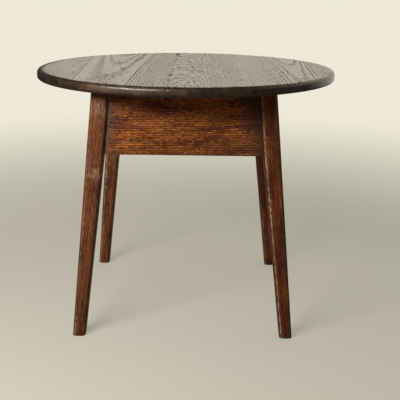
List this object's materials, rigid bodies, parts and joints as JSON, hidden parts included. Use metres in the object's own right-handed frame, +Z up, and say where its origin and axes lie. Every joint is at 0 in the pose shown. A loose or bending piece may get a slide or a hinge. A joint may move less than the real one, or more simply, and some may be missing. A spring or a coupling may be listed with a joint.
{
  "type": "tavern table",
  "caption": "Round plank-topped table on splayed, chamfered legs that taper to the foot, framed by deep leaning aprons with pegged tenons.",
  "frame": {"origin": "on the floor, under the middle of the round top", "axes": "+Z up, the pictured front towards -Y, +X to the right as seen from the front; the boards run along Y"},
  "size_m": [0.8499, 0.85, 0.71],
  "materials": {
    "top_oak": "dark stained oak, waxed to a soft shine",
    "frame_oak": "red-brown stained oak, waxed",
    "peg_oak": "end grain stained like the frame",
    "hidden_oak": "bare oak inside the top",
    "screw_steel": "dull old steel"
  },
  "bodies": {
    "root": {"top_board_left": "top_oak", "top_board_middle": "top_oak", "top_board_right": "top_oak", "top_tongue_left": "hidden_oak", "top_tongue_right": "hidden_oak", "leg_front_left": "frame_oak", "leg_front_right": "frame_oak", "leg_back_left": "frame_oak", "leg_back_right": "frame_oak", "apron_front": "frame_oak", "apron_back": "frame_oak", "apron_left": "frame_oak", "apron_right": "frame_oak", "pegs_front_apron_left": "peg_oak", "pegs_front_apron_right": "peg_oak", "pegs_back_apron_left": "peg_oak", "pegs_back_apron_right": "peg_oak", "pegs_left_apron_front": "peg_oak", "pegs_left_apron_back": "peg_oak", "pegs_right_apron_front": "peg_oak", "pegs_right_apron_back": "peg_oak", "top_screws_front": "screw_steel", "top_screws_back": "screw_steel", "top_screws_left": "screw_steel", "top_screws_right": "screw_steel"}
  },
  "joints": []
}
